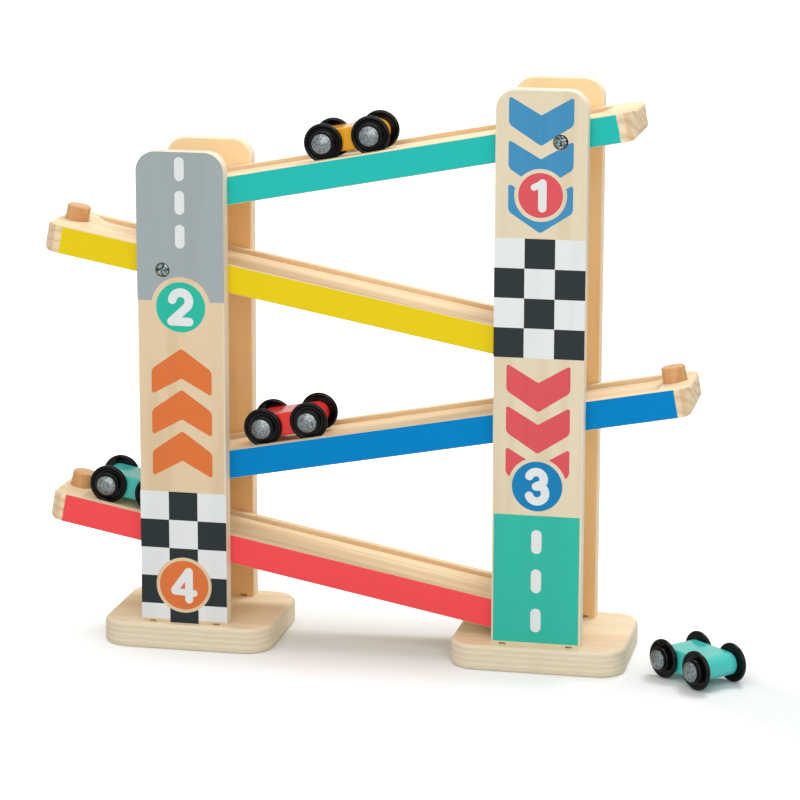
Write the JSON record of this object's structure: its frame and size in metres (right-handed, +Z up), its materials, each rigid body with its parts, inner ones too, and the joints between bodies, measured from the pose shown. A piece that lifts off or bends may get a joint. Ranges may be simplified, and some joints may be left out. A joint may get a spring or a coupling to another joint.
{
  "type": "click clack track toy",
  "caption": "Wooden ramp racer: two printed towers carry sloping painted ramps that step down from side to side, with small wheeled cars that roll along them.",
  "frame": {"origin": "centre of the left base's underside, on the floor under the left tower", "axes": "+X along the toy to the right tower, +Y to the back, away from the printed side, +Z up"},
  "size_m": [0.3856, 0.0934, 0.3109],
  "materials": {
    "bare_wood": "satin",
    "base_wood": "satin",
    "peg_wood": "satin",
    "dowel_wood": "satin",
    "ramp_1_teal": "satin",
    "ramp_2_yellow": "satin",
    "ramp_3_blue": "satin",
    "ramp_4_red": "satin",
    "car_yellow": "gloss",
    "car_red": "gloss",
    "car_teal": "gloss",
    "wheel_black": "gloss",
    "axle_steel": "satin",
    "cap_zinc": "satin",
    "screw_steel": "satin"
  },
  "bodies": {
    "toy": {"left_base": "base_wood", "right_base": "base_wood", "left_front_plate": "bare_wood", "left_back_plate": "bare_wood", "right_front_plate": "bare_wood", "right_back_plate": "bare_wood", "ramp_1": "ramp_1_teal", "ramp_2": "ramp_2_yellow", "ramp_3": "ramp_3_blue", "ramp_4": "ramp_4_red", "ramp_2_peg": "peg_wood", "ramp_3_peg": "peg_wood", "ramp_4_peg": "peg_wood", "ramp_screws": "screw_steel", "ramp_dowels": "dowel_wood"},
    "yellow_car": {"yellow_car_body": "car_yellow"},
    "yellow_car_front_wheelset": {"yellow_car_front_axle": "axle_steel", "yellow_car_front_wheels": "wheel_black", "yellow_car_front_caps": "cap_zinc"},
    "yellow_car_rear_wheelset": {"yellow_car_rear_axle": "axle_steel", "yellow_car_rear_wheels": "wheel_black", "yellow_car_rear_caps": "cap_zinc"},
    "red_car": {"red_car_body": "car_red"},
    "red_car_front_wheelset": {"red_car_front_axle": "axle_steel", "red_car_front_wheels": "wheel_black", "red_car_front_caps": "cap_zinc"},
    "red_car_rear_wheelset": {"red_car_rear_axle": "axle_steel", "red_car_rear_wheels": "wheel_black", "red_car_rear_caps": "cap_zinc"},
    "teal_car": {"teal_car_body": "car_teal"},
    "teal_car_front_wheelset": {"teal_car_front_axle": "axle_steel", "teal_car_front_wheels": "wheel_black", "teal_car_front_caps": "cap_zinc"},
    "teal_car_rear_wheelset": {"teal_car_rear_axle": "axle_steel", "teal_car_rear_wheels": "wheel_black", "teal_car_rear_caps": "cap_zinc"},
    "floor_car": {"floor_car_body": "car_teal"},
    "floor_car_front_wheelset": {"floor_car_front_axle": "axle_steel", "floor_car_front_wheels": "wheel_black", "floor_car_front_caps": "cap_zinc"},
    "floor_car_rear_wheelset": {"floor_car_rear_axle": "axle_steel", "floor_car_rear_wheels": "wheel_black", "floor_car_rear_caps": "cap_zinc"}
  },
  "joints": [
    {"name": "yellow_car_roll", "type": "slide", "parent": "toy", "child": "yellow_car", "axis": [-0.9828, 0, -0.1848], "range_m": [-0.1158, 0.0812]},
    {"name": "yellow_car_front_turn", "type": "hinge", "parent": "yellow_car", "child": "yellow_car_front_wheelset", "pos_m": [0.07432, -0.00442, 0.27762], "axis": [0, -1, 0], "continuous": true},
    {"name": "yellow_car_rear_turn", "type": "hinge", "parent": "yellow_car", "child": "yellow_car_rear_wheelset", "pos_m": [0.09988, -0.00442, 0.28243], "axis": [0, -1, 0], "continuous": true},
    {"name": "red_car_roll", "type": "slide", "parent": "toy", "child": "red_car", "axis": [-0.9828, 0, -0.1848], "range_m": [-0.1825, 0.0465]},
    {"name": "red_car_front_turn", "type": "hinge", "parent": "red_car", "child": "red_car_front_wheelset", "pos_m": [0.04021, -0.0039, 0.12156], "axis": [0, -1, 0], "continuous": true},
    {"name": "red_car_rear_turn", "type": "hinge", "parent": "red_car", "child": "red_car_rear_wheelset", "pos_m": [0.06576, -0.0039, 0.12636], "axis": [0, -1, 0], "continuous": true},
    {"name": "teal_car_roll", "type": "slide", "parent": "toy", "child": "teal_car", "axis": [0.9828, 0, -0.1848], "range_m": [-0.0032, 0.2257]},
    {"name": "teal_car_front_turn", "type": "hinge", "parent": "teal_car", "child": "teal_car_front_wheelset", "pos_m": [-0.02283, -0.00104, 0.07985], "axis": [0, 1, 0], "continuous": true},
    {"name": "teal_car_rear_turn", "type": "hinge", "parent": "teal_car", "child": "teal_car_rear_wheelset", "pos_m": [-0.04838, -0.00104, 0.08466], "axis": [0, 1, 0], "continuous": true},
    {"name": "floor_car_roll", "type": "slide", "parent": "toy", "child": "floor_car", "axis": [0.7431, -0.6691, 0], "range_m": [-0.006, 0.15]},
    {"name": "floor_car_front_turn", "type": "hinge", "parent": "floor_car", "child": "floor_car_front_wheelset", "pos_m": [0.28916, -0.0377, 0.0105], "axis": [0.6691, 0.7431, 0], "continuous": true},
    {"name": "floor_car_rear_turn", "type": "hinge", "parent": "floor_car", "child": "floor_car_rear_wheelset", "pos_m": [0.26984, -0.0203, 0.0105], "axis": [0.6691, 0.7431, 0], "continuous": true}
  ],
  "couplings": [
    {"joint": "yellow_car_front_turn", "follows": "yellow_car_roll", "rad_per_m": 95.238},
    {"joint": "yellow_car_rear_turn", "follows": "yellow_car_roll", "rad_per_m": 95.238},
    {"joint": "red_car_front_turn", "follows": "red_car_roll", "rad_per_m": 95.238},
    {"joint": "red_car_rear_turn", "follows": "red_car_roll", "rad_per_m": 95.238},
    {"joint": "teal_car_front_turn", "follows": "teal_car_roll", "rad_per_m": 95.238},
    {"joint": "teal_car_rear_turn", "follows": "teal_car_roll", "rad_per_m": 95.238},
    {"joint": "floor_car_front_turn", "follows": "floor_car_roll", "rad_per_m": 95.238},
    {"joint": "floor_car_rear_turn", "follows": "floor_car_roll", "rad_per_m": 95.238}
  ]
}
